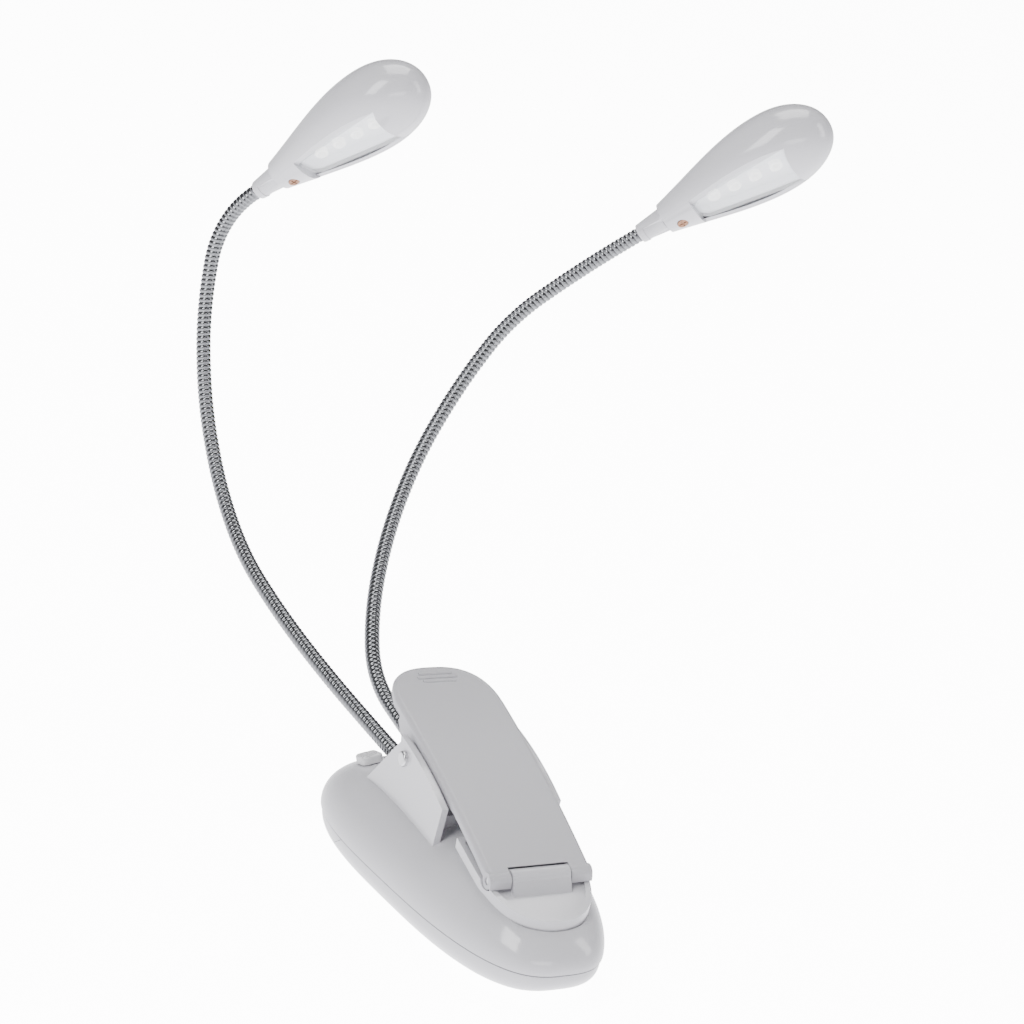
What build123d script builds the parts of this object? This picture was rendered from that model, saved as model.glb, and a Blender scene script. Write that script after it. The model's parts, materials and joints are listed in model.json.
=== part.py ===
from build123d import *

import math
import os

# Clip on reading lamp. Millimetres. Origin: centre of the base's flat underside.
# +Z up, -Y towards the jaw, +Y towards the goosenecks, +X to the right.

# Base pod
BASE_LENGTH = 118.0
BASE_WIDTH = 53.0
EGG = 0.195             # the outline is this much wider at the rear end than in the middle
CORNER_POWER = 2.95     # superellipse exponent of the outline
SEAM_Z = 10.0
DOME_HEIGHT = 18.5
DOME_POWER = 2.25
BELLY_POWER = 3.4
WALL = 2.0
SEAM_STEP = 0.5         # the lower shell is this much smaller than the dome at the seam
DOOR_GAP = 0.25

# Spring clip
PIVOT_Y = 11.4
PIVOT_Z = 39.2
PIVOT_RADIUS = 1.5
EAR_OUTER_X = 17.9
EAR_THICKNESS = 1.9
LEVER_FRONT_Y = -40.0
LEVER_THUMB_Y = 39.5
LEVER_FRONT_HALF_WIDTH = 15.1
LEVER_THUMB_HALF_WIDTH = 15.9
LEVER_THICKNESS = 2.8
FORK_HALF_WIDTH = 8.9
JAW_PIN_Y = -37.6
JAW_PIN_Z = 27.3
JAW_PIN_RADIUS = 1.0
JAW_HALF_WIDTH = 15.7
JAW_TIP_Y = -52.5
JAW_TAIL_Y = -19.8
JAW_DEPTH = 3.0         # from the rim of the jaw down to its seat in the dome

# Switches
SWITCH_X = 12.2
SWITCH_Y = 43.0
SWITCH_TRAVEL = 2.0

# Power
CELL_RADIUS = 5.25
CELL_LENGTH = 44.5
CELL_PITCH = 11.0
CELL_Y = -7.5
CELL_Z = 8.2

# Goosenecks: hand-chosen control points of each route, from the socket to the head
NECK_RADIUS = 2.35
NECK_BORE = 1.2
BALL_CLEARANCE = 0.05
SOCKET_X = 4.5
SOCKET_Z = 25.0
SOCKET_RADIUS = 3.5
NECK_ROUTES = {
    "left": [(-4.5, 32, 25), (-4.5, 48, 25), (-12, 77, 34), (-18, 101, 43), (-23, 125, 54),
             (-25, 145, 69), (-26, 162, 90), (-26, 172, 116), (-23.6, 174, 146.8), (-15.7, 163.9, 158.3)],
    "right": [(4.5, 32, 25), (4.5, 48, 25), (2, 77, 33), (9, 98, 48), (19, 114, 66),
              (31, 125, 86), (45, 130, 108), (59, 130, 129), (79, 122, 149), (90.4, 113.5, 161.3)],
}
# Direction that the lit underside of each head faces
HEAD_FACING = {"left": (0.05, -1.05, -0.62), "right": (-0.02, -1.11, -0.52)}

# Lamp heads, in a frame whose Z runs along the head from the end of the neck
HEAD_START = 9.0
HEAD_END = 67.0
HEAD_RADIUS = 13.2
BELLY_FLATNESS = 0.82   # the underside is this much shallower than the top
HEAD_WALL = 1.4
LENS_REAR = 19.5
LENS_FRONT = 53.0
LENS_REAR_DEPTH = 4.2
LENS_FRONT_DEPTH = 7.8
LENS_REAR_HALF_WIDTH = 4.6
LENS_FRONT_HALF_WIDTH = 8.8
LENS_THICKNESS = 1.2
LED_PITCH = 7.0
LED_FIRST = 26.0
LED_COUNT = 4


def signed_power(value, power):
    return math.copysign(abs(value) ** power, value)


def oval_points(inset, scale, count=28):
    """Points of the base's egg-shaped superellipse, pulled in by inset and then scaled."""
    half_length = BASE_LENGTH / 2 - inset
    half_width = BASE_WIDTH / 2 - inset
    points = []
    for i in range(count):
        angle = 2 * math.pi * i / count
        c, s = math.cos(angle), math.sin(angle)
        reach = (abs(c) ** CORNER_POWER + abs(s) ** CORNER_POWER) ** (-1 / CORNER_POWER)
        y = scale * reach * s
        x = scale * reach * c * (1 + EGG * y)
        points.append((half_width * x, half_length * y))
    return points


def oval_face(inset, scale, z):
    return Plane.XY.offset(z) * make_face(Spline(*oval_points(inset, scale), periodic=True))


def rounded_pod(inset, height, power, first_angle=0, last_angle=86, steps=8):
    """A pod half that starts at the seam and closes towards z = SEAM_Z + height."""
    sections = []
    for i in range(steps):
        angle = math.radians(first_angle + (last_angle - first_angle) * i / (steps - 1))
        rise = (math.sin(angle) / math.sin(math.radians(last_angle))) ** (2 / power)
        sections.append(oval_face(inset, math.cos(angle) ** (2 / power), SEAM_Z + height * rise))
    return loft(sections)


def dome_solid(inset=0.0, lower_by=0.0):
    return rounded_pod(inset, DOME_HEIGHT - lower_by, DOME_POWER)


def belly_solid(inset, floor):
    return rounded_pod(inset, floor - SEAM_Z, BELLY_POWER, last_angle=66)


def block(low, high):
    """A box from its lowest corner to its highest corner."""
    size = [h - l for l, h in zip(low, high)]
    centre = [(h + l) / 2 for l, h in zip(low, high)]
    return Pos(*centre) * Box(*size)


def rod(start, end, radius):
    """A cylinder between two points."""
    way = Vector(*end) - Vector(*start)
    return extrude(Plane(origin=start, z_dir=way) * Circle(radius), way.length)


def x_slab(outline, low_x, high_x):
    """A closed (y, z) outline, given as a face on Plane.YZ, made solid from low_x to high_x."""
    return Pos(low_x, 0, 0) * extrude(outline, high_x - low_x)


def yz_polygon(points):
    return Plane.YZ * make_face(Polyline(*points, close=True))


# ---------------------------------------------------------------- base

DOME = dome_solid()
DOME_INSIDE = dome_solid(WALL, WALL)


# Case screws: x, y, underside of the head, foot of the post above, tip of the screw
SCREW_PLACES = [(side * x, y, head_z, post_z, tip_z) for side in (-1, 1) for x, y, head_z, post_z, tip_z in
                ((17.5, 46, 5.0, 11.0, 16.5), (11, -42, 9.0, 11.0, 17.0), (13.5, 33, 15.9, 17.6, 20.3))]


def knob_slot_cutter(side):
    return block((side * SWITCH_X - 1.6, SWITCH_Y - SWITCH_TRAVEL - 1.7, 15),
                 (side * SWITCH_X + 1.6, SWITCH_Y + SWITCH_TRAVEL + 1.7, 30))


def base_top_shell():
    shell = DOME - DOME_INSIDE
    for x, y, _, post_z, tip_z in SCREW_PLACES:
        post = block((x - 2.6, y - 2.6, post_z), (x + 2.6, y + 2.6, 27)) & DOME_INSIDE
        shell += post - rod((x, y, SEAM_Z), (x, y, tip_z + 0.5), 1.05)
    for side in (-1, 1):
        shell -= rod((side * SOCKET_X, 26, SOCKET_Z), (side * SOCKET_X, 52, SOCKET_Z),
                     SOCKET_RADIUS + 0.03)
        shell -= knob_slot_cutter(side)
        shell -= rod((side * 9, 6, 20), (side * 9, 6, 31), 1.1)
    shell -= jaw_column(-0.5) - jaw_below(JAW_DEPTH)
    seat_floor = jaw_below(JAW_DEPTH) - jaw_below(JAW_DEPTH + WALL)
    shell += jaw_column(-2.5) & seat_floor & DOME_INSIDE
    return shell.solids().sort_by(SortBy.VOLUME)[-1]


def door_split(offset):
    """Everything in front of the slanted joint between the battery door and the rear shell."""
    slope_y, slope_z = 8.0, 5.5
    top_y = 23.0 + offset
    run = (SEAM_Z + 5) / slope_z * slope_y
    profile = [(-80, SEAM_Z + 5), (top_y - 5 / slope_z * slope_y, SEAM_Z + 5),
               (top_y - 5 / slope_z * slope_y + run, 0), (top_y + 30, -5), (-80, -5)]
    return x_slab(yz_polygon(profile), -40, 40)


def lower_shell():
    outside = belly_solid(SEAM_STEP, 0.0)
    inside = belly_solid(SEAM_STEP + WALL, WALL)
    return outside - inside


def battery_door(whole):
    door = whole & door_split(-DOOR_GAP)
    for i in range(3):
        y = -42 + 4 * i
        door -= block((-7, y - 0.6, -0.1), (7, y + 0.6, 0.5))
    return door


def rear_lower_shell(whole):
    rear = whole - door_split(0)
    outside = belly_solid(SEAM_STEP, 0.0) + block((-40, 0, SEAM_Z), (40, 80, 30))
    for x, y, head_z, post_z, _ in SCREW_PLACES:
        if head_z == 5.0:
            rear += rod((x, y, 0), (x, y, post_z - 0.1), 2.9) & outside
            rear -= rod((x, y, -1), (x, y, post_z), 1.15)
            rear -= rod((x, y, -1), (x, y, head_z), 2.3)
    return rear


def rear_feet():
    """Two soft feet that fill the rise of the underside towards its rear end."""
    belly = belly_solid(SEAM_STEP - 0.02, -0.02)
    return [rod((x, 50, 0), (x, 50, 7), 3.6) - belly for x in (-10.5, 10.5)]


def case_screws():
    """Screws of the rear shell, of the battery tray's front flange and of the neck clamp."""
    group = []
    for x, y, head_z, _, tip_z in SCREW_PLACES:
        head = rod((x, y, head_z - 1.4), (x, y, head_z - 0.02), 2.0)
        slot = block((x - 1.4, y - 0.25, head_z - 1.5), (x + 1.4, y + 0.25, head_z - 0.9))
        cross = block((x - 0.25, y - 1.4, head_z - 1.5), (x + 0.25, y + 1.4, head_z - 0.9))
        group.append(head - slot - cross + rod((x, y, head_z - 0.1), (x, y, tip_z), 1.0))
    return group


# ---------------------------------------------------------------- power and switches

def cell_centres():
    return [(i - 1) * CELL_PITCH for i in range(3)]


def battery_cells():
    cells = []
    half = CELL_LENGTH / 2
    for number, x in enumerate(cell_centres()):
        toward = 1 if number % 2 else -1
        can = rod((x, CELL_Y - half + 0.4, CELL_Z), (x, CELL_Y + half - 0.4, CELL_Z), CELL_RADIUS)
        can = fillet(can.edges(), 0.4)
        tip_y = CELL_Y + toward * (half + 0.7)
        can += rod((x, CELL_Y + toward * (half - 0.6), CELL_Z), (x, tip_y, CELL_Z), 1.9)
        cells.append(can)
    return cells


TRAY_FRONT = CELL_Y - CELL_LENGTH / 2 - 3.6
TRAY_REAR = CELL_Y + CELL_LENGTH / 2 + 3.6
TRAY_HALF = 1.5 * CELL_PITCH + 1.4


def battery_tray():
    wall = 1.2
    tub = block((-TRAY_HALF, TRAY_FRONT, 5.0), (TRAY_HALF, TRAY_REAR, 15.2))
    tub -= block((-TRAY_HALF + wall, TRAY_FRONT + wall, 2.0), (TRAY_HALF - wall, TRAY_REAR - wall, 14.0))
    for x in (-CELL_PITCH / 2, CELL_PITCH / 2):
        rib = block((x - 0.5, CELL_Y - 16, 10.5), (x + 0.5, CELL_Y + 16, 14.2))
        for centre in cell_centres():
            rib -= rod((centre, CELL_Y - 20, CELL_Z), (centre, CELL_Y + 20, CELL_Z), CELL_RADIUS + 0.15)
        tub += rib
    for x in (-11, 11):
        flange = block((x - 3.0, -45, 9.2), (x + 3.0, TRAY_FRONT + 0.5, 10.8))
        tub += flange - rod((x, -42, 8), (x, -42, 12), 1.15)
    room = dome_solid(WALL + 0.3, WALL + 0.3) + belly_solid(SEAM_STEP + WALL + 0.4, WALL + 0.4)
    return (tub & room).solids().sort_by(SortBy.VOLUME)[-1]


def battery_contacts():
    """Contact plates on the tray's end walls, each with its coil or its button."""
    group = []
    thickness = 0.4
    for end_y, inward in ((TRAY_FRONT + 1.2, 1), (TRAY_REAR - 1.2, -1)):
        for number, x in enumerate(cell_centres()):
            low = sorted((end_y + inward * 0.02, end_y + inward * (0.02 + thickness)))
            plate = block((x - 4.4, low[0], CELL_Z - 4), (x + 4.4, low[1], CELL_Z + 5))
            faces_tip = (number % 2 == 1) == (inward == -1)
            if faces_tip:
                plate += rod((x, end_y + inward * 0.2, CELL_Z), (x, end_y + inward * 1.45, CELL_Z), 1.6)
            else:
                for turn, radius in enumerate((3.4, 3.0, 2.6)):
                    ring_y = end_y + inward * (0.62 + 0.55 * turn)
                    ring = Plane(origin=(x, ring_y, CELL_Z), z_dir=(0, 1, 0)).location * Torus(radius, 0.32)
                    plate += ring
            group.append(plate)
    return group


BOARD_Z = 13.6


def circuit_board():
    board = block((-16, 24.5, BOARD_Z - 1.2), (16, 51, BOARD_Z))
    board -= rod((-17.5, 46, 10), (-17.5, 46, 16), 3.8)
    board -= rod((17.5, 46, 10), (17.5, 46, 16), 3.8)
    chips = [block((-4, 30, BOARD_Z - 0.1), (4, 36, BOARD_Z + 1.3)),
             block((-1.6, 44, BOARD_Z - 0.1), (1.6, 47.5, BOARD_Z + 1.0)),
             rod((0, 40.5, BOARD_Z - 0.1), (0, 40.5, BOARD_Z + 3.4), 2.0)]
    for chip in chips:
        board += chip
    return board


def switch_body(side):
    x = side * SWITCH_X
    case = block((x - 2.3, SWITCH_Y - 4.2, BOARD_Z + 0.02), (x + 2.3, SWITCH_Y + 4.2, BOARD_Z + 3.4))
    return case - block((x - 1.3, SWITCH_Y - 3.3, BOARD_Z + 1.8), (x + 1.3, SWITCH_Y + 3.3, BOARD_Z + 4))


KNOB_SEAT_Z = 23.07
KNOB_SLOPE_X = 0.2      # fall of the dome under the knobs, towards the side and towards the rear
KNOB_SLOPE_Y = 0.31


def switch_knob(side):
    x = side * SWITCH_X
    seat = Plane(origin=(x, SWITCH_Y, KNOB_SEAT_Z), x_dir=(1, 0, -side * KNOB_SLOPE_X),
                 z_dir=(side * KNOB_SLOPE_X, KNOB_SLOPE_Y, 1))
    cap = fillet(Box(6.4, 7.2, 2.4).edges().filter_by(Axis.Z), 1.6)
    cap = fillet(cap.faces().sort_by(Axis.Z)[-1].edges(), 0.7)
    for i in range(-2, 3):
        groove = Pos(0, 1.35 * i, 1.2) * Rot(0, 0, 20) * Box(9, 0.5, 0.7)
        cap -= groove
    stem = block((x - 1.1, SWITCH_Y - 1.2, BOARD_Z + 2.6), (x + 1.1, SWITCH_Y + 1.2, 24.2))
    return seat.location * Pos(0, 0, 1.2) * cap + stem


# ---------------------------------------------------------------- spring clip

def ear_outline():
    front = Line((-10.8, 21.5), (-13.6, 36.0))
    top = ThreePointArc((-13.6, 36.0), (-0.5, 41.0), (15.6, 44.4))
    back = Polyline((15.6, 44.4), (15.2, 42.6), (33.4, 22.6), (33.4, 21.5), (-10.8, 21.5))
    return Plane.YZ * make_face(front + top + back)


WEB_TOP_Z = 30.6


def clip_bracket():
    bracket = block((-EAR_OUTER_X, -7, 21.5), (EAR_OUTER_X, 21, WEB_TOP_Z))
    for side in (-1, 1):
        inner_x = side * (EAR_OUTER_X - EAR_THICKNESS)
        low_x, high_x = sorted((inner_x, side * EAR_OUTER_X))
        bracket += x_slab(ear_outline(), low_x, high_x)
    bracket -= DOME
    bracket -= rod((-20, PIVOT_Y, PIVOT_Z), (20, PIVOT_Y, PIVOT_Z), PIVOT_RADIUS + 0.03)
    for side in (-1, 1):
        bracket -= rod((side * 9, 6, 22), (side * 9, 6, 29.6), 1.02)
    return bracket.solids().sort_by(SortBy.VOLUME)[-1]


def bracket_screws():
    group = []
    for side in (-1, 1):
        x = side * 9
        group.append(rod((x, 6, 23.9), (x, 6, 29.2), 1.0) + rod((x, 6, 22.6), (x, 6, 24.2), 1.9))
    return group


def pivot_pin():
    pin = rod((-EAR_OUTER_X - 0.1, PIVOT_Y, PIVOT_Z), (EAR_OUTER_X + 0.1, PIVOT_Y, PIVOT_Z), PIVOT_RADIUS)
    for side in (-1, 1):
        inner = side * (EAR_OUTER_X + 0.02)
        head = rod((inner, PIVOT_Y, PIVOT_Z), (inner + side * 1.2, PIVOT_Y, PIVOT_Z), 2.2)
        rim = head.faces().sort_by(Axis.X)[-1 if side > 0 else 0].edges()
        pin += fillet(rim, 0.6)
    return pin


SPRING_RADIUS = 3.0
SPRING_WIRE = 0.55
LEG_RADIUS = 0.5


def torsion_spring():
    """Coil round the pivot pin with one leg on the bracket and one under the lever."""
    coil_half = 5.0
    turns = 7
    path = Helix(pitch=2 * coil_half / turns, height=2 * coil_half, radius=SPRING_RADIUS)
    wire = Plane(origin=path @ 0, z_dir=path % 0) * Circle(SPRING_WIRE)
    coil = sweep(wire, path=path, is_frenet=True)
    coil = Pos(-coil_half, PIVOT_Y, PIVOT_Z) * Rot(0, 90, 0) * coil
    start_y, start_z = PIVOT_Y, PIVOT_Z - SPRING_RADIUS
    low_leg = rod((-coil_half, start_y, start_z), (-coil_half, start_y + 9, WEB_TOP_Z + LEG_RADIUS + 0.1),
                  LEG_RADIUS)
    high_leg = rod((coil_half, start_y, start_z), (coil_half, start_y + 11.5, 46.7), LEG_RADIUS)
    low_bend = Pos(-coil_half, start_y, start_z) * Sphere(0.7)
    high_bend = Pos(coil_half, start_y, start_z) * Sphere(0.7)
    return coil + (low_bend + low_leg) + (high_bend + high_leg)


def lever_plan():
    """Plan outline of the lever: nearly straight sides and a broad rounded thumb end."""
    turn_y = 21.0
    side = LEVER_THUMB_HALF_WIDTH
    reach = LEVER_THUMB_Y - turn_y
    end = []
    for i in range(0, 13):
        angle = math.pi * i / 12
        end.append((side * signed_power(math.cos(angle), 2 / 2.6),
                    turn_y + reach * math.sin(angle) ** (2 / 2.6)))
    tip = Spline(*end, tangents=[(0, 1), (0, -1)])
    front = LEVER_FRONT_HALF_WIDTH
    sides = Polyline((-side, turn_y), (-front, LEVER_FRONT_Y), (front, LEVER_FRONT_Y), (side, turn_y))
    return make_face(tip + sides)


def lever_top_arc(drop):
    return ThreePointArc((-42.0, 27.6 - drop), (-1.4, 43.3 - drop), (41.5, 54.4 - drop))


def lever_slab(top_drop, bottom_drop):
    top = lever_top_arc(top_drop)
    bottom = lever_top_arc(bottom_drop)
    ends = [Line(top @ 0, bottom @ 0), Line(top @ 1, bottom @ 1)]
    return x_slab(Plane.YZ * make_face(top + bottom + ends[0] + ends[1]), -20, 20)


def clip_lever():
    column = extrude(lever_plan(), 70)
    plate = lever_slab(0, LEVER_THICKNESS) & column
    crown = plate.faces().sort_by(SortBy.AREA)[-2:].sort_by(Axis.Z)[-1]
    plate = fillet(crown.edges(), 1.5)
    for side in (-1, 1):
        flange_low, flange_high = sorted((side * 12.6, side * 14.8))
        outline = [(-18, 34.6), (-8, 35.9), (5, 35.6), (11.4, 34.6), (17.5, 36.6), (24, 44), (24, 48.5),
                   (0, 42.0), (-18, 36.0)]
        plate += x_slab(yz_polygon(outline), flange_low, flange_high)
    plate -= rod((-20, PIVOT_Y, PIVOT_Z), (20, PIVOT_Y, PIVOT_Z), PIVOT_RADIUS + 0.05)
    plate -= block((-FORK_HALF_WIDTH, -45, 20), (FORK_HALF_WIDTH, -36.4, 40))
    plate -= rod((-FORK_HALF_WIDTH, JAW_PIN_Y, JAW_PIN_Z), (FORK_HALF_WIDTH, JAW_PIN_Y, JAW_PIN_Z), 2.9)
    for side in (-1, 1):
        arm_low, arm_high = sorted((side * (FORK_HALF_WIDTH + 0.001), side * LEVER_FRONT_HALF_WIDTH))
        knuckle = rod((arm_low, JAW_PIN_Y, JAW_PIN_Z), (arm_high, JAW_PIN_Y, JAW_PIN_Z), 2.2)
        plate += knuckle
    plate -= rod((-20, JAW_PIN_Y, JAW_PIN_Z), (20, JAW_PIN_Y, JAW_PIN_Z), JAW_PIN_RADIUS + 0.02)
    arc = lever_top_arc(0)
    for i, half_width in enumerate((5.0, 6.0, 5.0)):
        place = arc @ (0.885 + 0.02 * i)
        rib = rod((-half_width, place.X, place.Y - 0.15), (half_width, place.X, place.Y - 0.15), 0.6)
        plate += rib
    return plate


def jaw_outline(inset):
    half = JAW_HALF_WIDTH - inset
    shoulder_y = -30.0
    tip = JAW_TIP_Y + inset
    nose = []
    for i in range(0, 13):
        angle = math.pi * i / 12
        nose.append((half * signed_power(math.cos(angle), 2 / 2.3),
                     shoulder_y - (shoulder_y - tip) * math.sin(angle) ** (2 / 2.3)))
    curve = Spline(*nose, tangents=[(0, -1), (0, 1)])
    tail = JAW_TAIL_Y - inset
    sides = Polyline((-half, shoulder_y), (-half, tail), (half, tail), (half, shoulder_y))
    return make_face(curve + sides)


def jaw_column(inset):
    return Pos(0, 0, 17) * extrude(jaw_outline(inset), 30)


def jaw_rim_plane_z(y):
    return 36.2 + 0.27 * y


def jaw_below(drop):
    """Everything below the jaw's sloping rim plane, lowered by drop."""
    front, rear = -60.0, -10.0
    outline = [(front, jaw_rim_plane_z(front) - drop), (rear, jaw_rim_plane_z(rear) - drop),
               (rear, 0), (front, 0)]
    return x_slab(yz_polygon(outline), -25, 25)


PAD_TOP = 1.9           # the pad fills the jaw from this far below the rim down to the seat
SEAT_GAP = 0.15


def jaw_foot():
    """D-shaped pan with a raised rim and a hub between the fork's arms."""
    foot = jaw_column(0) & jaw_below(0)
    foot -= jaw_column(1.6) - jaw_below(1.0)
    lip_outline = [(-42.4, 22.6), (-39.3, 29.1), (-37.6, 29.75), (-37.6, 24.6), (-35.6, 24.6), (-35.6, 22.6)]
    hub_half = FORK_HALF_WIDTH - 0.4
    foot += x_slab(yz_polygon(lip_outline), -hub_half, hub_half)
    foot += rod((-hub_half, JAW_PIN_Y, JAW_PIN_Z), (hub_half, JAW_PIN_Y, JAW_PIN_Z), 2.45)
    foot -= rod((-20, JAW_PIN_Y, JAW_PIN_Z), (20, JAW_PIN_Y, JAW_PIN_Z), JAW_PIN_RADIUS + 0.04)
    for side in (-1, 1):
        ends = sorted((side * (FORK_HALF_WIDTH - 0.35), side * 17))
        foot -= rod((ends[0], JAW_PIN_Y, JAW_PIN_Z), (ends[1], JAW_PIN_Y, JAW_PIN_Z), 2.6)
    foot -= jaw_below(JAW_DEPTH - SEAT_GAP)
    foot -= jaw_column(1.5) & jaw_below(PAD_TOP)
    return foot.solids().sort_by(SortBy.VOLUME)[-1]


def jaw_pad():
    return jaw_column(1.52) & (jaw_below(PAD_TOP + 0.02) - jaw_below(JAW_DEPTH - SEAT_GAP))


def jaw_hinge_pin():
    end = LEVER_FRONT_HALF_WIDTH - 0.3
    return rod((-end, JAW_PIN_Y, JAW_PIN_Z), (end, JAW_PIN_Y, JAW_PIN_Z), JAW_PIN_RADIUS)


# ---------------------------------------------------------------- goosenecks

def neck_points(side_name):
    return [Vector(*point) for point in NECK_ROUTES[side_name]]


def neck_joints(points):
    """Ends of the neck's segments: the socket, the middles of the inner runs, and the head."""
    middles = [(points[i] + points[i + 1]) / 2 for i in range(1, len(points) - 2)]
    return [points[0]] + middles + [points[-1]]


def head_axis(side_name):
    points = neck_points(side_name)
    return (points[-1] - points[-2]).normalized()


def neck_segment(side_name, number):
    """One stretch of the wound tube, round one control point, with a ball end and a cupped start."""
    points = neck_points(side_name)
    ends = neck_joints(points)
    start, corner, finish = ends[number - 1], points[number], ends[number]
    last = number == len(points) - 2
    if last:
        finish = finish + head_axis(side_name) * 2.5
    shorter = min((corner - start).length, (finish - corner).length)
    turn = math.radians((corner - start).get_angle(finish - corner))
    radius = (0.68 if number == 1 else 0.95) * shorter / math.tan(turn / 2)
    path = FilletPolyline(start, corner, finish, radius=radius)
    ring = Plane(origin=start, z_dir=corner - start) * (Circle(NECK_RADIUS) - Circle(NECK_BORE))
    tube = sweep(ring, path=path)
    if number > 1:
        tube -= Pos(*start) * Sphere(NECK_RADIUS + BALL_CLEARANCE)
    if not last:
        heading = finish - corner
        ball = Pos(*finish) * Sphere(NECK_RADIUS)
        tail_side = Plane(origin=finish, z_dir=-heading).location * Pos(0, 0, 5) * Box(10, 10, 10)
        bore = rod(finish - heading.normalized() * 3, finish + heading.normalized() * 3, NECK_BORE)
        tube += ball - tail_side - bore
    return tube


def neck_socket(side):
    tube = rod((side * SOCKET_X, 30.6, SOCKET_Z), (side * SOCKET_X, 36.6, SOCKET_Z), SOCKET_RADIUS)
    tube = fillet(tube.faces().sort_by(Axis.Y)[-1].edges(), 0.6)
    tube -= rod((side * SOCKET_X, 31.98, SOCKET_Z), (side * SOCKET_X, 42, SOCKET_Z), NECK_RADIUS + 0.03)
    tube -= rod((side * SOCKET_X, 30, SOCKET_Z), (side * SOCKET_X, 33, SOCKET_Z), NECK_BORE)
    return tube


def neck_clamp_bar():
    bar = block((-16, 30.6, 16.0), (16, 35.4, 17.5)) + block((-9, 30.6, 17.4), (9, 35.4, 23.2))
    for side in (-1, 1):
        bar -= rod((side * SOCKET_X, 20, SOCKET_Z), (side * SOCKET_X, 45, SOCKET_Z), SOCKET_RADIUS + 0.03)
        bar -= rod((side * 13.5, 33, 15), (side * 13.5, 33, 19), 1.15)
    return bar


def lead_wire(side):
    """Pair of leads from the board up to the socket's wire hole, as one tube."""
    x = side * SOCKET_X
    route = [(side * 7.5, 28, BOARD_Z + 0.3), (side * 7.5, 26.5, 20), (x, 27.0, SOCKET_Z),
             (x, 31.9, SOCKET_Z)]
    path = FilletPolyline(*route, radius=[3.0, 2.2])
    return sweep(Plane(origin=route[0], z_dir=Vector(*route[1]) - Vector(*route[0])) * Circle(0.8), path=path)


# ---------------------------------------------------------------- lamp heads

def head_plane(side_name):
    axis = head_axis(side_name)
    facing = Vector(*HEAD_FACING[side_name])
    up = -(facing - axis * facing.dot(axis)).normalized()
    return Plane(origin=neck_points(side_name)[-1], x_dir=up.cross(axis), z_dir=axis)


def head_profile(inset):
    """Half outline of the teardrop in the (x, z) plane, pulled in by inset."""
    body = [(5.2, HEAD_START), (8.0, 19.5), (11.6, 33.5), (HEAD_RADIUS, 47.5), (11.0, 59)]
    points = [(r - inset, z) for r, z in body] + [(0, HEAD_END - inset)]
    edge = Spline(*points, tangents=[(0.25, 1), (-1, 0)])
    foot = HEAD_START
    closing = Polyline((0, HEAD_END - inset), (0, foot), (points[0][0], foot))
    return Plane.XZ * make_face(edge + closing)


def teardrop(inset):
    """Solid teardrop: round on top, and flatter underneath."""
    whole = revolve(head_profile(inset), Axis.Z)
    top = whole & Pos(0, 25, 40) * Box(60, 50, 100)
    bottom = whole & Pos(0, -25, 40) * Box(60, 50, 100)
    squashed = scale(bottom, by=(1, BELLY_FLATNESS, 1), about=(0, 0, 0))
    return top + squashed


def lens_depth(z):
    slope = (LENS_FRONT_DEPTH - LENS_REAR_DEPTH) / (LENS_FRONT - LENS_REAR)
    return LENS_REAR_DEPTH + slope * (z - LENS_REAR)


def layer(top_drop, bottom_drop):
    """Slab between two planes parallel to the lens, measured down from the lens plane."""
    low_z, high_z = 2.0, 80.0
    outline = [(-lens_depth(low_z) - top_drop, low_z), (-lens_depth(high_z) - top_drop, high_z),
               (-lens_depth(high_z) - bottom_drop, high_z), (-lens_depth(low_z) - bottom_drop, low_z)]
    return x_slab(yz_polygon(outline), -30, 30)


def front_curtain(gap):
    """Plan area behind the concave front edge of the window, made tall."""
    front = LENS_FRONT - gap
    edge = ThreePointArc((-30, front + 12), (0, front - 1.4), (30, front + 12))
    rest = Polyline((30, front + 12), (30, 2), (-30, 2), (-30, front + 12))
    plan = Plane.XZ * make_face(edge + rest)
    return extrude(plan, 40, both=True)


def window(grow):
    """Plan outline of the lens, made tall."""
    rear, front = LENS_REAR - grow, LENS_FRONT + grow
    rear_half, front_half = LENS_REAR_HALF_WIDTH + grow, LENS_FRONT_HALF_WIDTH + grow
    sides = Polyline((front_half, front), (front_half * 0.9, front - 8), (rear_half, rear + 2.2),
                     (rear_half * 0.55, rear), (-rear_half * 0.55, rear), (-rear_half, rear + 2.2),
                     (-front_half * 0.9, front - 8), (-front_half, front))
    edge = ThreePointArc((-front_half, front), (0, front - 1.4), (front_half, front))
    return extrude(Plane.XZ * make_face(sides + edge), 40, both=True)


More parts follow.
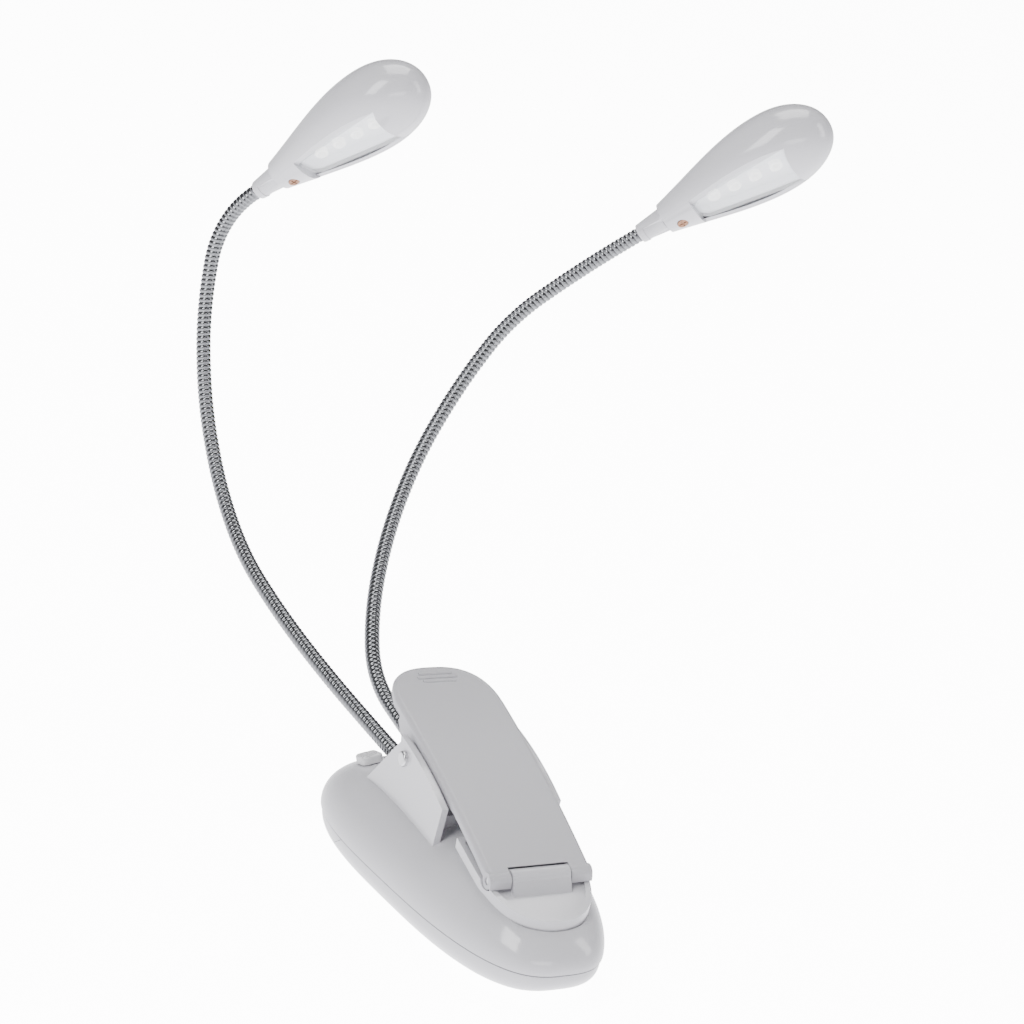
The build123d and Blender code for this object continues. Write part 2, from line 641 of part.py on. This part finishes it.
def head_parts(side_name):
    """Every piece of one lamp head, as a dictionary of node name to shape."""
    place = head_plane(side_name).location
    outer = teardrop(0)
    inner = teardrop(HEAD_WALL)
    below = layer(0, 40) & front_curtain(0)
    nose_wall = (inner & layer(-0.5, 40)) & (front_curtain(-HEAD_WALL) - front_curtain(0))
    cuff = rod((0, 0, HEAD_START - 2), (0, 0, HEAD_START + 8), 4.05)
    shell = outer - inner - below + nose_wall - cuff - (layer(-LENS_THICKNESS - 0.05, 1) & window(0.06))

    chin_space = block((-20, -20, HEAD_START + 0.05), (20, 5, LENS_REAR - 0.1))
    chin = outer & layer(0.02, 40) & chin_space
    tongue = layer(-1.5, 0.5) & teardrop(HEAD_WALL + 0.1) & chin_space
    cover = chin + tongue - window(0.1) - cuff
    screw_z = 13.8
    floor = -BELLY_FLATNESS * 6.35
    cover -= rod((0, floor - 2, screw_z), (0, floor + 0.7, screw_z), 1.75)
    cover -= rod((0, floor - 2, screw_z), (0, 2, screw_z), 0.95)
    screw = rod((0, floor - 0.1, screw_z), (0, floor + 0.65, screw_z), 1.65)
    screw -= block((-1.2, floor - 0.3, screw_z - 0.2), (1.2, floor + 0.15, screw_z + 0.2))
    screw -= block((-0.2, floor - 0.3, screw_z - 1.2), (0.2, floor + 0.15, screw_z + 1.2))
    screw += rod((0, floor + 0.5, screw_z), (0, -4.1, screw_z), 0.9)

    lens = layer(-LENS_THICKNESS, 0) & window(0)
    reflector = (layer(-4.6, -LENS_THICKNESS - 0.3) & window(0.05)) - (layer(-4.0, 0) & window(-0.9))
    board = layer(-6.0, -4.8) & block((-3.6, -20, LENS_REAR + 1.5), (3.6, 20, LENS_FRONT - 5))
    leds = []
    for i in range(LED_COUNT):
        z = LED_FIRST + i * LED_PITCH
        base_y = -lens_depth(z) + 4.5
        bulb = rod((0, base_y, z), (0, base_y - 1.9, z), 2.0) + Pos(0, base_y - 1.9, z) * Sphere(1.3)
        leds.append(bulb)
    for bulb in leds:
        reflector -= offset_rod(bulb)

    collar = revolve(Plane.XZ * make_face(Polyline(
        (0, 0), (2.9, 0), (3.05, 0.35), (3.95, 8.2), (4.0, 15.5), (0, 15.5), close=True)), Axis.Z)
    collar -= rod((0, 0, -1), (0, 0, 2.52), NECK_RADIUS + 0.03)
    collar -= rod((0, 0, 2), (0, 0, 20), NECK_BORE)
    collar -= layer(-1.0, 40)
    collar += (rod((0, 0, 0), (0, 0, 11.2), 3.05) - rod((0, 0, -1), (0, 0, 12), NECK_RADIUS + 0.03)) & \
        block((-9, -9, 0.4), (9, 9, 8.6))
    pieces = {
        "head_shell": shell, "head_cover": cover, "lens": lens, "reflector": reflector,
        "led_board": board, "leds": leds, "head_screw": screw, "neck_collar": collar,
    }
    return {f"{side_name}_{name}": place_all(shape, place) for name, shape in pieces.items()}


def offset_rod(bulb):
    """A little more than the space that a diode fills."""
    box = bulb.bounding_box()
    z = (box.min.Z + box.max.Z) / 2
    return rod((0, box.max.Y + 0.1, z), (0, box.min.Y - 0.2, z), 2.08)


def place_all(shape, place):
    if isinstance(shape, list):
        return [place * item for item in shape]
    return place * shape


# ---------------------------------------------------------------- writing

def save(name, shape):
    if isinstance(shape, list):
        solids = [item.solids().sort_by(SortBy.VOLUME)[-1] for item in shape]
    else:
        solids = list(shape.solids())
    export_step(solids[0] if len(solids) == 1 else Compound(children=solids), f"parts/{name}.step")


def main():
    os.makedirs("parts", exist_ok=True)
    whole_lower = lower_shell()
    nodes = {
        "base_top_shell": base_top_shell(),
        "battery_door": battery_door(whole_lower),
        "rear_lower_shell": rear_lower_shell(whole_lower),
        "rear_feet": rear_feet(),
        "case_screws": case_screws(),
        "battery_tray": battery_tray(),
        "battery_cells": battery_cells(),
        "battery_contacts": battery_contacts(),
        "circuit_board": circuit_board(),
        "neck_clamp_bar": neck_clamp_bar(),
        "clip_bracket": clip_bracket(),
        "bracket_screws": bracket_screws(),
        "pivot_pin": pivot_pin(),
        "torsion_spring": torsion_spring(),
        "clip_lever": clip_lever(),
        "jaw_hinge_pin": jaw_hinge_pin(),
        "jaw_foot": jaw_foot(),
        "jaw_pad": jaw_pad(),
    }
    for side_name, side in (("left", -1), ("right", 1)):
        nodes[f"{side_name}_switch_body"] = switch_body(side)
        nodes[f"{side_name}_switch_knob"] = switch_knob(side)
        nodes[f"{side_name}_neck_socket"] = neck_socket(side)
        nodes[f"{side_name}_lead_wire"] = lead_wire(side)
        for number in range(1, len(NECK_ROUTES[side_name]) - 1):
            nodes[f"{side_name}_neck_{number}"] = neck_segment(side_name, number)
        nodes.update(head_parts(side_name))
    for name, shape in nodes.items():
        save(name, shape)


main()
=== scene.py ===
import json
import math

import bpy
import numpy as np
from mathutils import Matrix, Vector


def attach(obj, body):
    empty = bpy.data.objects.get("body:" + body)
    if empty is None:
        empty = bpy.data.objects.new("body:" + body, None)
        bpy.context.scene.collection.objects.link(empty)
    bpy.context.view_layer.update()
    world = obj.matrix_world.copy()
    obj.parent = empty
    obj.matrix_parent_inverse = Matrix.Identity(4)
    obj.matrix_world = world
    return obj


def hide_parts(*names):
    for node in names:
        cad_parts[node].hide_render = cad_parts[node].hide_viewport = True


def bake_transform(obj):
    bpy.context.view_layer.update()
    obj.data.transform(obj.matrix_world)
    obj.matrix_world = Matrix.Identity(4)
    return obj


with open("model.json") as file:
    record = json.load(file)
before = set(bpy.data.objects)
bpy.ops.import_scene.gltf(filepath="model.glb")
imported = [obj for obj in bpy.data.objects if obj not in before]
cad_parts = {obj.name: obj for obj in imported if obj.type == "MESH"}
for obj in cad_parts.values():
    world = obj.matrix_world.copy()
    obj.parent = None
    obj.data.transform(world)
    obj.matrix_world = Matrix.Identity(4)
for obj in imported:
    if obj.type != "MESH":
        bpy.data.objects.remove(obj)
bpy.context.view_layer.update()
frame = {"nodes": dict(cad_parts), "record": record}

# The frame is in metres: origin at the centre of the base's underside, +Z up, -Y towards the jaw.

NECK_RADIUS = 0.00235
NECK_PITCH = 0.0015
NECK_GROOVE = 0.0005
NECK_SIDES = 24
RINGS_PER_TURN = 8
FIRST_TANGENT = 0.68    # share of the shorter run that the first bend takes up
TANGENT = 0.95
TIP_OVERLAP = 0.0024    # how far the neck runs on into the head
# Centrelines in millimetres: the neck's first point, the corners of its bends and its last point.
NECK_ROUTES = {
    "left": [(-4.5, 32, 25), (-4.5, 48, 25), (-12, 77, 34), (-18, 101, 43), (-23, 125, 54),
             (-25, 145, 69), (-26, 162, 90), (-26, 172, 116), (-23.6, 174, 146.8), (-15.7, 163.9, 158.3)],
    "right": [(4.5, 32, 25), (4.5, 48, 25), (2, 77, 33), (9, 98, 48), (19, 114, 66),
              (31, 125, 86), (45, 130, 108), (59, 130, 129), (79, 122, 149), (90.4, 113.5, 161.3)],
}


# ---------------------------------------------------------------- camera

CAMERA_LENS = 92.6
CAMERA_SENSOR = 36.0
CAMERA_PLACE = Vector((-0.32266, -0.56755, 0.33293))
CAMERA_RIGHT = Vector((0.885, -0.442, 0.145)).normalized()
CAMERA_BACK = Vector((-0.465, -0.826, 0.318)).normalized()


def make_camera():
    data = bpy.data.cameras.new("camera")
    data.lens = CAMERA_LENS
    data.sensor_width = CAMERA_SENSOR
    data.clip_start = 0.01
    data.clip_end = 100.0
    camera = bpy.data.objects.new("camera", data)
    bpy.context.scene.collection.objects.link(camera)
    up = CAMERA_BACK.cross(CAMERA_RIGHT).normalized()
    right = up.cross(CAMERA_BACK).normalized()
    turn = Matrix((right, up, CAMERA_BACK)).transposed().to_4x4()
    camera.matrix_world = Matrix.Translation(CAMERA_PLACE) @ turn
    bpy.context.scene.camera = camera


# ---------------------------------------------------------------- materials

def new_material(name, colour, roughness, metallic=0.0, coat=0.0, ior=1.46):
    material = bpy.data.materials.new(name)
    material.use_nodes = True
    shader = material.node_tree.nodes["Principled BSDF"]
    shader.inputs["Base Color"].default_value = (*colour, 1)
    shader.inputs["Roughness"].default_value = roughness
    shader.inputs["Metallic"].default_value = metallic
    shader.inputs["Coat Weight"].default_value = coat
    shader.inputs["Coat Roughness"].default_value = 0.08
    shader.inputs["IOR"].default_value = ior
    return material


def glow(material, strength):
    shader = material.node_tree.nodes["Principled BSDF"]
    shader.inputs["Emission Color"].default_value = (1.0, 1.0, 1.0, 1)
    shader.inputs["Emission Strength"].default_value = strength


def add_roughness_noise(material, low, high, size):
    """Slight procedural variation of the surface's roughness."""
    nodes, links = material.node_tree.nodes, material.node_tree.links
    place = nodes.new("ShaderNodeTexCoord")
    noise = nodes.new("ShaderNodeTexNoise")
    noise.inputs["Scale"].default_value = size
    span = nodes.new("ShaderNodeMapRange")
    span.inputs["To Min"].default_value = low
    span.inputs["To Max"].default_value = high
    links.new(place.outputs["Object"], noise.inputs["Vector"])
    links.new(noise.outputs["Fac"], span.inputs["Value"])
    links.new(span.outputs["Result"], material.node_tree.nodes["Principled BSDF"].inputs["Roughness"])


def add_fine_bump(material, size, strength, distance):
    """Fine moulded grain."""
    nodes, links = material.node_tree.nodes, material.node_tree.links
    place = nodes.new("ShaderNodeTexCoord")
    noise = nodes.new("ShaderNodeTexNoise")
    noise.inputs["Scale"].default_value = size
    bump = nodes.new("ShaderNodeBump")
    bump.inputs["Strength"].default_value = strength
    bump.inputs["Distance"].default_value = distance
    links.new(place.outputs["Object"], noise.inputs["Vector"])
    links.new(noise.outputs["Fac"], bump.inputs["Height"])
    links.new(bump.outputs["Normal"], nodes["Principled BSDF"].inputs["Normal"])


def make_materials():
    made = {
        "white_shell": new_material("white_shell", (0.58, 0.575, 0.605), 0.2, coat=0.6),
        "lever_plastic": new_material("lever_plastic", (0.465, 0.46, 0.487), 0.36),
        "switch_plastic": new_material("switch_plastic", (0.70, 0.70, 0.71), 0.45),
        "dark_plastic": new_material("dark_plastic", (0.05, 0.05, 0.055), 0.5),
        "spiral_steel": new_material("spiral_steel", (0.22, 0.225, 0.235), 0.24, metallic=1.0),
        "steel": new_material("steel", (0.62, 0.62, 0.63), 0.28, metallic=1.0),
        "contact_metal": new_material("contact_metal", (0.72, 0.70, 0.64), 0.25, metallic=1.0),
        "battery": new_material("battery", (0.10, 0.16, 0.30), 0.3, metallic=0.6),
        "circuit_green": new_material("circuit_green", (0.02, 0.16, 0.06), 0.4),
        "lead": new_material("lead", (0.55, 0.03, 0.02), 0.4),
        "soft_pad": new_material("soft_pad", (0.62, 0.62, 0.62), 0.7),
        "lens_clear": new_material("lens_clear", (0.98, 0.99, 1.0), 0.03),
        "reflector_white": new_material("reflector_white", (0.86, 0.88, 0.92), 0.35),
        "led_clear": new_material("led_clear", (0.95, 0.95, 0.9), 0.1, coat=0.6),
        # seam colour: dark grey painted shade for the groove between the dome and the lower shell
        "seam_painted_shade": new_material("seam_painted_shade", (0.16, 0.16, 0.17), 0.7),
        "screw_brown": new_material("screw_brown", (0.30, 0.16, 0.10), 0.35, metallic=0.7),
    }
    glass = made["lens_clear"].node_tree.nodes["Principled BSDF"]
    glass.inputs["Alpha"].default_value = 0.26
    # painted light: the reflector's faint glow brightens the inside of the head behind the lens, though
    # the reflector is no lamp
    glow(made["reflector_white"], 0.22)
    glow(made["led_clear"], 1.2)
    add_roughness_noise(made["white_shell"], 0.13, 0.2, 60)
    add_roughness_noise(made["lever_plastic"], 0.3, 0.4, 90)
    add_roughness_noise(made["spiral_steel"], 0.12, 0.22, 400)
    add_fine_bump(made["soft_pad"], 2500, 0.3, 0.0002)
    add_fine_bump(made["switch_plastic"], 3000, 0.2, 0.0001)
    return made


SHARP_ANGLE = 32        # degrees, above which an edge stays sharp


def dress_cad_nodes(materials):
    """Gives each CAD node its material slot's material and smooth faces."""
    own_finish = {"left_head_screw": "screw_brown", "right_head_screw": "screw_brown"}
    slots = {entry["node"]: entry["material_slot"] for entry in frame["record"]["subparts"]}
    for name, node in frame["nodes"].items():
        node.data.materials.clear()
        node.data.materials.append(materials[own_finish.get(name, slots[name])])
        node.data.shade_smooth()
        node.data.set_sharp_from_angle(angle=math.radians(SHARP_ANGLE))


# ---------------------------------------------------------------- meshes

def mesh_object(name, points, faces, material):
    data = bpy.data.meshes.new(name)
    data.from_pydata([tuple(p) for p in points], [], faces)
    data.materials.append(material)
    data.polygons.foreach_set("use_smooth", [True] * len(data.polygons))
    thing = bpy.data.objects.new(name, data)
    bpy.context.scene.collection.objects.link(thing)
    return thing


def tube_faces(rings, sides):
    faces = []
    for i in range(rings - 1):
        for j in range(sides):
            k = (j + 1) % sides
            faces.append((i * sides + j, i * sides + k, (i + 1) * sides + k, (i + 1) * sides + j))
    return faces


# ---------------------------------------------------------------- goosenecks

def neck_joints(points):
    middles = [(points[i] + points[i + 1]) / 2 for i in range(1, len(points) - 2)]
    return [points[0]] + middles + [points[-1]]


def bend_points(start, corner, finish, share, count=24):
    """Line, circular arc and line round one corner."""
    way_in, way_out = (corner - start).normalized(), (finish - corner).normalized()
    reach = share * min((corner - start).length, (finish - corner).length)
    first, last = corner - way_in * reach, corner + way_out * reach
    weight = math.cos(way_in.angle(way_out) / 2)
    line = [start]
    for i in range(count + 1):
        t = i / count
        a, b, c = (1 - t) ** 2, 2 * t * (1 - t) * weight, t * t
        line.append((first * a + corner * b + last * c) / (a + b + c))
    return line + [finish]


def route_of(side_name):
    """The neck's centreline, the length along it at each point and at each joint, and the joints."""
    points = [Vector(p) / 1000 for p in NECK_ROUTES[side_name]]
    ends = neck_joints(points)
    line = []
    marks = []
    for number in range(1, len(points) - 1):
        share = FIRST_TANGENT if number == 1 else TANGENT
        line += bend_points(ends[number - 1], points[number], ends[number], share)[:-1]
        marks.append(len(line))
    line.append(ends[-1])
    tip = (points[-1] - points[-2]).normalized()
    line.append(ends[-1] + tip * TIP_OVERLAP)
    array = np.array([tuple(p) for p in line])
    keep = np.concatenate(([True], np.linalg.norm(np.diff(array, axis=0), axis=1) > 1e-7))
    length = np.concatenate(([0], np.cumsum(np.linalg.norm(np.diff(array, axis=0), axis=1))))
    joint_lengths = [0.0] + [length[m] for m in marks[:-1]] + [length[-1]]
    return array[keep], length[keep], joint_lengths, ends


def swept_frames(line, length, stations):
    """Centre, direction and a slowly turning side vector at each station along the line."""
    centres = np.stack([np.interp(stations, length, line[:, k]) for k in range(3)], axis=1)
    ways = np.gradient(centres, axis=0)
    ways /= np.linalg.norm(ways, axis=1)[:, None]
    side = np.cross(ways[0], (0.0, 0.0, 1.0))
    sides = []
    for way in ways:
        side = side - way * side.dot(way)
        side = side / np.linalg.norm(side)
        sides.append(side)
    return centres, ways, np.array(sides)


def wound_radius(turns):
    """Outer radius of a wound tube: a rounded ridge with a narrow groove at each whole turn."""
    across = 2 * (turns - np.floor(turns)) - 1
    return NECK_RADIUS - NECK_GROOVE * (1 - np.sqrt(np.clip(1 - across ** 2, 0, 1)))


def make_neck(side_name, material):
    line, length, joint_lengths, ends = route_of(side_name)
    count = int(round(length[-1] / NECK_PITCH * RINGS_PER_TURN))
    stations = np.linspace(0, length[-1], count + 1)
    centres, ways, sides = swept_frames(line, length, stations)
    across = np.cross(ways, sides)
    angles = np.arange(NECK_SIDES) * 2 * math.pi / NECK_SIDES
    turns = stations[:, None] / NECK_PITCH - angles[None, :] / (2 * math.pi)
    radius = wound_radius(turns)[:, :, None]
    turned = angles[None, :, None]
    around = sides[:, None, :] * np.cos(turned) + across[:, None, :] * np.sin(turned)
    rings = centres[:, None, :] + radius * around
    bounds_at = [0] + [(joint_lengths[k] + joint_lengths[k + 1]) / 2 for k in range(1, 8)] + [length[-1]]
    for number in range(1, 9):
        low = int(np.searchsorted(stations, bounds_at[number - 1]))
        high = min(int(np.searchsorted(stations, bounds_at[number])), count)
        make_neck_piece(side_name, number, rings[low:high + 1], material)


def make_neck_piece(side_name, number, rings, material):
    """One stretch of the neck, with the joint that lies inside it."""
    faces = tube_faces(len(rings), NECK_SIDES)
    piece = mesh_object(f"{side_name}_spiral_{number}", rings.reshape(-1, 3), faces, material)
    if number == 8:
        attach(piece, f"{side_name}_head")
    else:
        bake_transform(piece)
    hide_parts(f"{side_name}_neck_{number}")


# ---------------------------------------------------------------- clip spring

PIVOT = (0.0114, 0.0392)    # y and z of the lever's pivot
COIL_HALF = 0.005
COIL_RADIUS = 0.003
COIL_TURNS = 7
COIL_WIRE = 0.00052
LOW_LEG_END = (-COIL_HALF, 0.0204, 0.0312)
HIGH_LEG_END = (COIL_HALF, 0.0229, 0.0467)


def coil_points(steps=24):
    points = []
    for i in range(COIL_TURNS * steps + 1):
        angle = 2 * math.pi * i / steps
        x = COIL_HALF * (2 * i / (COIL_TURNS * steps) - 1)
        y = PIVOT[0] - COIL_RADIUS * math.sin(angle)
        z = PIVOT[1] - COIL_RADIUS * math.cos(angle)
        points.append((x, y, z))
    return points


def wire(name, points, body, material, sides=12):
    """A round wire along the points, closed at both ends, that stands for the CAD spring."""
    line = np.array(points)
    length = np.concatenate(([0], np.cumsum(np.linalg.norm(np.diff(line, axis=0), axis=1))))
    centres, ways, side_vectors = swept_frames(line, length, stations=length)
    across = np.cross(ways, side_vectors)
    angles = (np.arange(sides) * 2 * math.pi / sides)[None, :, None]
    around = side_vectors[:, None, :] * np.cos(angles) + across[:, None, :] * np.sin(angles)
    rings = centres[:, None, :] + COIL_WIRE * around
    faces = tube_faces(len(rings), sides)
    faces.append(tuple(reversed(range(sides))))
    faces.append(tuple(range((len(rings) - 1) * sides, len(rings) * sides)))
    piece = mesh_object(name, rings.reshape(-1, 3), faces, material)
    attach(piece, body)
    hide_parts("torsion_spring")


def make_spring(material):
    """The coil and its low leg stay on the bracket; the high leg turns round the pin with the lever."""
    coil = coil_points()
    wire("spring_coil", [LOW_LEG_END] + coil, "base", material)
    wire("spring_lever_leg", [coil[-1], HIGH_LEG_END], "lever", material)


# ---------------------------------------------------------------- seam of the base, with painted shade in its groove

BASE_LENGTH = 0.118
BASE_WIDTH = 0.053
EGG = 0.195
CORNER_POWER = 2.95
SEAM_Z = 0.010
SEAM_HEIGHT = 0.00042
SEAM_OVERLAP = 0.00001
SEAM_SET_BACK = 0.00018
SEAM_INNER = 0.0012


def base_outline(inset, count=180):
    points = []
    for i in range(count):
        angle = 2 * math.pi * i / count
        c, s = math.cos(angle), math.sin(angle)
        reach = (abs(c) ** CORNER_POWER + abs(s) ** CORNER_POWER) ** (-1 / CORNER_POWER)
        y = reach * s
        x = reach * c * (1 + EGG * y)
        points.append(((BASE_WIDTH / 2 - inset) * x, (BASE_LENGTH / 2 - inset) * y))
    return points


def make_seam_painted_shade(material):
    """A thin dark band of painted shade in the groove between the dome and the lower shell."""
    outer, inner = base_outline(SEAM_SET_BACK), base_outline(SEAM_INNER)
    count = len(outer)
    low, high = SEAM_Z - SEAM_HEIGHT, SEAM_Z + SEAM_OVERLAP
    corners = [(inner, low), (outer, low), (outer, high), (inner, high)]
    rings = [[(x, y, z) for x, y in outline] for outline, z in corners]
    points = [p for ring in rings for p in ring]
    faces = []
    for r in range(4):
        for i in range(count):
            j = (i + 1) % count
            q = (r + 1) % 4
            faces.append((r * count + i, r * count + j, q * count + j, q * count + i))
    seam = mesh_object("seam_painted_shade_band", points, faces, material)
    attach(seam, "base")


# ---------------------------------------------------------------- stage

FLOOR_GLOW = 12.0
FLOOR_HALF = 25.0
WALL_HEIGHT = 12.0
SKY_BELOW = 4.2
SKY_ABOVE = 0.22
SKY_TURN = (-0.7, 0.25)      # heights of the view direction between which the sky dims
# name, place, target, size and power
LIGHTS = [
    ("key", (-0.95, -0.35, 0.9), (0, 0.05, 0.08), (0.5, 0.9), 14),
    ("top", (0.2, 0.5, 1.5), (0, 0.05, 0.05), (1.0, 1.0), 20),
    ("right", (1.1, -0.6, 0.7), (0, 0.0, 0.08), (0.35, 0.9), 5),
    ("front", (-0.1, -1.3, 0.35), (0, 0.0, 0.1), (0.9, 0.25), 3),
]


def make_floor():
    """A white floor and, far off, a white wall round it. The sky lights the object through both."""
    h, top = FLOOR_HALF, WALL_HEIGHT
    corners = [(-h, -h), (h, -h), (h, h), (-h, h)]
    points = [(x, y, z) for z in (0, top) for x, y in corners]
    faces = [(0, 1, 2, 3), (0, 4, 5, 1), (1, 5, 6, 2), (2, 6, 7, 3), (3, 7, 4, 0)]
    floor = mesh_object("floor", points, faces, new_material("floor", (0.97, 0.97, 0.97), 0.9))
    floor.data.polygons.foreach_set("use_smooth", [False] * len(faces))
    glow(floor.data.materials[0], FLOOR_GLOW)
    floor.visible_diffuse = False
    floor.visible_glossy = False
    floor.visible_shadow = False


def make_light(name, place, target, size, power):
    data = bpy.data.lights.new(name, "AREA")
    data.shape = "RECTANGLE"
    data.size, data.size_y = size
    data.energy = power
    light = bpy.data.objects.new(name, data)
    bpy.context.scene.collection.objects.link(light)
    light.location = place
    light.rotation_euler = (Vector(target) - Vector(place)).to_track_quat("-Z", "Y").to_euler()


def make_sky():
    """Soft light that is dim from above and bright from below, as over a lit white table."""
    world = bpy.data.worlds.new("world")
    bpy.context.scene.world = world
    world.use_nodes = True
    nodes, links = world.node_tree.nodes, world.node_tree.links
    place = nodes.new("ShaderNodeTexCoord")
    parts = nodes.new("ShaderNodeSeparateXYZ")
    span = nodes.new("ShaderNodeMapRange")
    span.inputs["From Min"].default_value = SKY_TURN[0]
    span.inputs["From Max"].default_value = SKY_TURN[1]
    span.inputs["To Min"].default_value = SKY_BELOW
    span.inputs["To Max"].default_value = SKY_ABOVE
    links.new(place.outputs["Generated"], parts.inputs["Vector"])
    links.new(parts.outputs["Z"], span.inputs["Value"])
    links.new(span.outputs["Result"], nodes["Background"].inputs["Strength"])
    nodes["Background"].inputs["Color"].default_value = (0.97, 0.97, 1.0, 1)


def make_lights():
    make_sky()
    for light in LIGHTS:
        make_light(*light)


materials = make_materials()
make_camera()
dress_cad_nodes(materials)
for side_name in ("left", "right"):
    make_neck(side_name, materials["spiral_steel"])
make_spring(materials["steel"])
# the dark band along the seam is painted shade
make_seam_painted_shade(materials["seam_painted_shade"])
make_floor()
make_lights()
